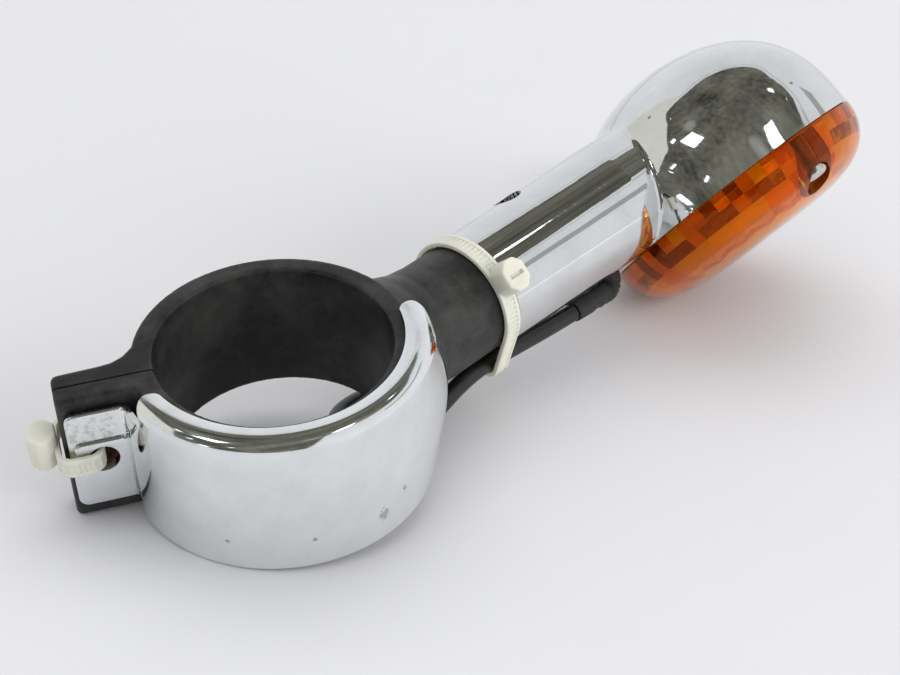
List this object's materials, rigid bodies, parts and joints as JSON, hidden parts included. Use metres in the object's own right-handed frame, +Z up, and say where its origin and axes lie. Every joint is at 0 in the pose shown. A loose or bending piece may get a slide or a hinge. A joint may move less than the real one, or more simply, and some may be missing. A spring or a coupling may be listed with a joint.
{
  "type": "turn signal indicator",
  "caption": "Motorcycle turn signal: chrome bullet housing on a stem, amber lens, bulb inside, rubber fork clamp with chrome band, and a black lead.",
  "frame": {"origin": "middle of the footprint of the lamp as it lies on a flat surface, without the lead, at surface height", "axes": "+X along the stem seen from above, from the fork clamp towards the lens; +Z up; the lens looks towards -Y and down"},
  "size_m": [0.2839, 0.1093, 0.0728],
  "materials": {
    "rubber": "matt charcoal moulded rubber, dusty",
    "chrome": "bright chrome plate, lightly pitted",
    "steel": "zinc-plated steel",
    "rusted_steel": "steel with surface rust",
    "brass": "bright brass",
    "amber_plastic": "transparent amber plastic",
    "glass": "clear bulb glass",
    "nylon": "natural translucent nylon",
    "vinyl": "black vinyl sleeve",
    "phenolic": "brown phenolic board",
    "seal_rubber": "soft black seal rubber",
    "tungsten": "tungsten and nickel wire"
  },
  "bodies": {
    "lamp": {"rubber_mount": "rubber", "clamp_band": "chrome", "front_ear_bushing": "rusted_steel", "rear_ear_bushing": "rusted_steel", "ear_tie": "nylon", "mount_stud": "steel", "stud_washer": "steel", "stud_lock_washer": "steel", "stud_nut": "steel", "lamp_housing": "chrome", "stem_tie": "nylon", "lead_boot": "seal_rubber", "lead_run": "vinyl", "lead_coil": "vinyl", "lead_tail": "vinyl", "signal_wire": "vinyl", "ground_wire": "vinyl", "signal_bullet": "brass", "ground_bullet": "brass", "socket_mount": "seal_rubber", "socket_shell": "steel", "contact_spring": "steel", "feed_wire": "vinyl", "earth_wire": "vinyl", "lens_gasket": "seal_rubber"},
    "lens": {"lens": "amber_plastic"},
    "lens_screw_1": {"lens_screw_1": "steel"},
    "lens_screw_2": {"lens_screw_2": "steel"},
    "contact": {"contact_disc": "phenolic", "contact_rivet": "brass"},
    "bulb": {"bulb_base": "brass", "bulb_glass": "glass", "filament_mount": "glass", "filament": "tungsten"}
  },
  "joints": [
    {"name": "lens_lift", "type": "slide", "parent": "lamp", "child": "lens", "axis": [0.1069, -0.788, -0.6063], "range_m": [0, 0.03]},
    {"name": "lens_screw_1_turn", "type": "hinge", "parent": "lens", "child": "lens_screw_1", "pos_m": [0.07152, -0.02526, 0.056], "axis": [0.1069, -0.788, -0.6063], "continuous": true},
    {"name": "lens_screw_2_turn", "type": "hinge", "parent": "lens", "child": "lens_screw_2", "pos_m": [0.0882, 0.01205, 0.01044], "axis": [0.1069, -0.788, -0.6063], "continuous": true},
    {"name": "contact_press", "type": "slide", "parent": "lamp", "child": "contact", "axis": [-0.9848, 0, -0.1736], "range_m": [0, 0.0015], "stiffness_N_per_m": 900, "springref_m": -0.004},
    {"name": "bulb_twist", "type": "hinge", "parent": "contact", "child": "bulb", "pos_m": [0.04631, 0.00545, 0.03687], "axis": [0.9848, 0, 0.1736], "range_deg": [0, 20]}
  ]
}
